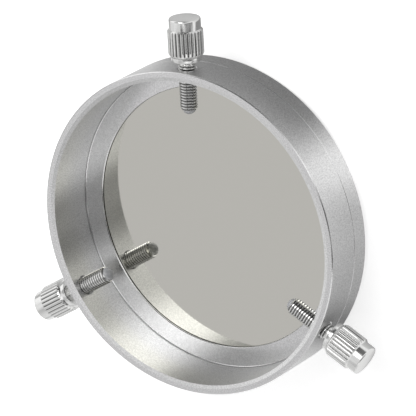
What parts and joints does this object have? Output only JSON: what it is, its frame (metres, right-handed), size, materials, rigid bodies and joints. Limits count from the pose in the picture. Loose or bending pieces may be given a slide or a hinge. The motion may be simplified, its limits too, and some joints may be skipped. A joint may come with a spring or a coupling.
{
  "type": "telescope solar filter",
  "caption": "Full-aperture glass solar filter in a screwed metal ring, clamped over a telescope tube by radial knurled thumbscrews.",
  "frame": {"origin": "centre of the front (sky side) face of the ring, on the ring axis; the filter lies on that face", "axes": "+Z along the ring axis towards the open rim that goes over the tube; +Y towards thumbscrew 1"},
  "size_m": [0.1354, 0.1329, 0.0241],
  "materials": {
    "anodised_ring": "bead-blasted, clear anodised",
    "turned_steel": "fine turned",
    "coated_glass": "metal-coated plane glass",
    "rubber": "flat sheet",
    "nylon": "natural nylon"
  },
  "bodies": {
    "root": {"clamp_collar": "anodised_ring", "front_cell": "anodised_ring", "glass_gasket": "rubber", "rear_gasket": "rubber", "filter_glass": "coated_glass", "pressure_ring": "anodised_ring"},
    "tip_1": {"screw_tip_1": "nylon"},
    "knob_1": {"thumbscrew_1": "turned_steel"},
    "tip_2": {"screw_tip_2": "nylon"},
    "knob_2": {"thumbscrew_2": "turned_steel"},
    "tip_3": {"screw_tip_3": "nylon"},
    "knob_3": {"thumbscrew_3": "turned_steel"}
  },
  "joints": [
    {"name": "thumbscrew_1_travel", "type": "slide", "parent": "root", "child": "tip_1", "axis": [0, 1, 0], "range_m": [-0.00261, 0.01201]},
    {"name": "thumbscrew_1_turn", "type": "hinge", "parent": "tip_1", "child": "knob_1", "pos_m": [0, 0.0604, 0.018], "axis": [0, 1, 0], "range_deg": [-936, 4320]},
    {"name": "thumbscrew_2_travel", "type": "slide", "parent": "root", "child": "tip_2", "axis": [-0.866, -0.5, 0], "range_m": [-0.00261, 0.01201]},
    {"name": "thumbscrew_2_turn", "type": "hinge", "parent": "tip_2", "child": "knob_2", "pos_m": [-0.05231, -0.0302, 0.018], "axis": [-0.866, -0.5, 0], "range_deg": [-936, 4320]},
    {"name": "thumbscrew_3_travel", "type": "slide", "parent": "root", "child": "tip_3", "axis": [0.866, -0.5, 0], "range_m": [-0.00261, 0.01201]},
    {"name": "thumbscrew_3_turn", "type": "hinge", "parent": "tip_3", "child": "knob_3", "pos_m": [0.05231, -0.0302, 0.018], "axis": [0.866, -0.5, 0], "range_deg": [-936, 4320]}
  ],
  "couplings": [
    {"joint": "thumbscrew_1_travel", "follows": "thumbscrew_1_turn", "m_per_rad": 0.00015915},
    {"joint": "thumbscrew_2_travel", "follows": "thumbscrew_2_turn", "m_per_rad": 0.00015915},
    {"joint": "thumbscrew_3_travel", "follows": "thumbscrew_3_turn", "m_per_rad": 0.00015915}
  ]
}
